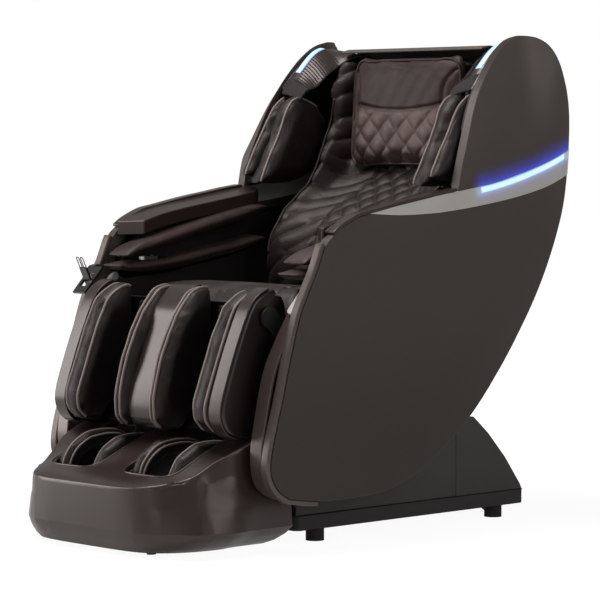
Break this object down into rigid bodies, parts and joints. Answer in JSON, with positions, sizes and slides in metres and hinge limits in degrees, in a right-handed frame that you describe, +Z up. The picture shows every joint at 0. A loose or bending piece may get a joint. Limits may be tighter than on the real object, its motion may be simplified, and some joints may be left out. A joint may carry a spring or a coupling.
{
  "type": "massage chair",
  "caption": "Full-body massage chair: tilting cradle of seat, back, padded arms and shoulder wings on a sliding base, with swinging legrest and extending foot unit.",
  "frame": {"origin": "middle of the footprint on the floor", "axes": "+X across the chair to the sitter's left, +Y towards the back, +Z up; the sitter faces -Y"},
  "size_m": [0.8, 1.238, 1.2021],
  "materials": {
    "outer_shell": "fine textile-like texture, matt",
    "edge_satin": "satin grey-brown",
    "gloss_brown": "high gloss dark brown",
    "silver_trim": "satin silver paint",
    "dark_liner": "matt near-black",
    "leather": "fine-grained dark brown",
    "arm_leather": "ribbed reddish brown",
    "pillow_leather": "quilted dark brown",
    "base_plastic": "matt dark grey",
    "plinth_plastic": "matt black",
    "frame_steel": "powder coat",
    "motor_paint": "grey paint",
    "bright_rail": "extruded",
    "polished_steel": "ground",
    "control_chrome": "polished",
    "foot_rubber": "matt",
    "roller_plastic": "smooth",
    "light_lens": "diffusing",
    "holder_plastic": "satin black"
  },
  "bodies": {
    "base": {"base_frame": "frame_steel", "base_plinth": "plinth_plastic", "base_cover_left": "base_plastic", "base_cover_right": "base_plastic", "base_rear_cover": "base_plastic", "base_feet": "foot_rubber", "control_box": "motor_paint", "air_pump": "motor_paint", "power_inlet": "plinth_plastic"},
    "cradle": {"seat_frame": "frame_steel", "back_frame": "frame_steel", "guide_rails": "bright_rail", "rear_shell": "outer_shell", "side_shell_left": "outer_shell", "side_shell_right": "outer_shell", "edge_strip_left": "edge_satin", "edge_strip_right": "edge_satin", "gloss_strip_left": "gloss_brown", "gloss_strip_right": "gloss_brown", "arm_liner_left": "dark_liner", "arm_liner_right": "dark_liner", "wing_left": "outer_shell", "wing_right": "outer_shell", "wing_liner_left": "dark_liner", "wing_liner_right": "dark_liner", "hood_left": "gloss_brown", "hood_right": "gloss_brown", "silver_band_left": "silver_trim", "silver_band_right": "silver_trim", "light_strips": "light_lens", "shoulder_grilles": "dark_liner", "arm_cap_left": "gloss_brown", "arm_cap_right": "gloss_brown", "arm_pads_upper": "arm_leather", "arm_pads_lower": "arm_leather", "speakers": "silver_trim", "seat_pad": "leather", "back_pad": "leather", "head_pillow": "pillow_leather", "shoulder_pads_left": "leather", "shoulder_pads_right": "leather", "hand_control": "control_chrome", "holder_tray": "holder_plastic"},
    "power_switch": {"power_switch": "plinth_plastic"},
    "transport_wheels": {"transport_wheels": "foot_rubber"},
    "tilt_carriage": {"slide_carriage": "frame_steel"},
    "tilt_motor": {"tilt_motor": "motor_paint"},
    "tilt_rod": {"tilt_rod": "polished_steel"},
    "front_button": {"control_button_front": "holder_plastic"},
    "rear_button": {"control_button_rear": "holder_plastic"},
    "phone_holder": {"phone_holder": "holder_plastic"},
    "massage_carriage": {"massage_carriage": "motor_paint"},
    "kneading_arms": {"kneading_arms": "motor_paint"},
    "kneading_rollers": {"kneading_rollers": "roller_plastic"},
    "legrest": {"calf_shell": "dark_liner", "calf_trims": "gloss_brown", "calf_pads": "leather"},
    "foot_unit": {"foot_shell": "gloss_brown", "foot_pads": "leather"},
    "foot_rollers": {"foot_rollers": "roller_plastic"}
  },
  "joints": [
    {"name": "power_rocker", "type": "hinge", "parent": "base", "child": "power_switch", "pos_m": [-0.1, 0.56142, 0.11378], "axis": [1, 0, 0], "range_deg": [0, 16]},
    {"name": "wheel_spin", "type": "hinge", "parent": "base", "child": "transport_wheels", "pos_m": [0, 0.57, 0.029], "axis": [1, 0, 0], "continuous": true},
    {"name": "carriage_slide", "type": "slide", "parent": "base", "child": "tilt_carriage", "axis": [0, -1, 0], "range_m": [0, 0.17]},
    {"name": "body_tilt", "type": "hinge", "parent": "tilt_carriage", "child": "cradle", "pos_m": [0, -0.02, 0.33], "axis": [-1, 0, 0], "range_deg": [0, 25]},
    {"name": "motor_swing", "type": "hinge", "parent": "tilt_carriage", "child": "tilt_motor", "pos_m": [0, 0.236, 0.232], "axis": [-1, 0, 0], "range_deg": [0, 2]},
    {"name": "rod_extend", "type": "slide", "parent": "tilt_motor", "child": "tilt_rod", "axis": [0, -1, -0.0078], "range_m": [0, 0.0425]},
    {"name": "front_button_press", "type": "slide", "parent": "cradle", "child": "front_button", "axis": [0, 0, -1], "range_m": [0, 0.002], "stiffness_N_per_m": 300},
    {"name": "rear_button_press", "type": "slide", "parent": "cradle", "child": "rear_button", "axis": [0, 0, -1], "range_m": [0, 0.002], "stiffness_N_per_m": 300},
    {"name": "holder_fold", "type": "hinge", "parent": "cradle", "child": "phone_holder", "pos_m": [-0.352, -0.312, 0.602], "axis": [1, 0, 0], "range_deg": [-45, 10]},
    {"name": "massage_lift", "type": "slide", "parent": "cradle", "child": "massage_carriage", "axis": [0, 0.5592, 0.829], "range_m": [-0.11, 0.11]},
    {"name": "kneading_depth", "type": "slide", "parent": "massage_carriage", "child": "kneading_arms", "axis": [0, -0.829, 0.5592], "range_m": [0, 0.025]},
    {"name": "kneading_spin", "type": "hinge", "parent": "kneading_arms", "child": "kneading_rollers", "pos_m": [0, 0.44545, 0.75452], "axis": [1, 0, 0], "continuous": true},
    {"name": "legrest_swing", "type": "hinge", "parent": "cradle", "child": "legrest", "pos_m": [0, -0.315, 0.54], "axis": [-1, 0, 0], "range_deg": [0, 68]},
    {"name": "foot_extend", "type": "slide", "parent": "legrest", "child": "foot_unit", "axis": [0, -0.3681, -0.9298], "range_m": [0, 0.15]},
    {"name": "foot_rollers_spin", "type": "hinge", "parent": "foot_unit", "child": "foot_rollers", "pos_m": [0, -0.45, 0.088], "axis": [1, 0, 0], "continuous": true}
  ],
  "couplings": [
    {"joint": "carriage_slide", "follows": "body_tilt", "m_per_rad": 0.3896},
    {"joint": "motor_swing", "follows": "body_tilt", "ratio": 0.0748},
    {"joint": "rod_extend", "follows": "body_tilt", "m_per_rad": 0.0971}
  ]
}
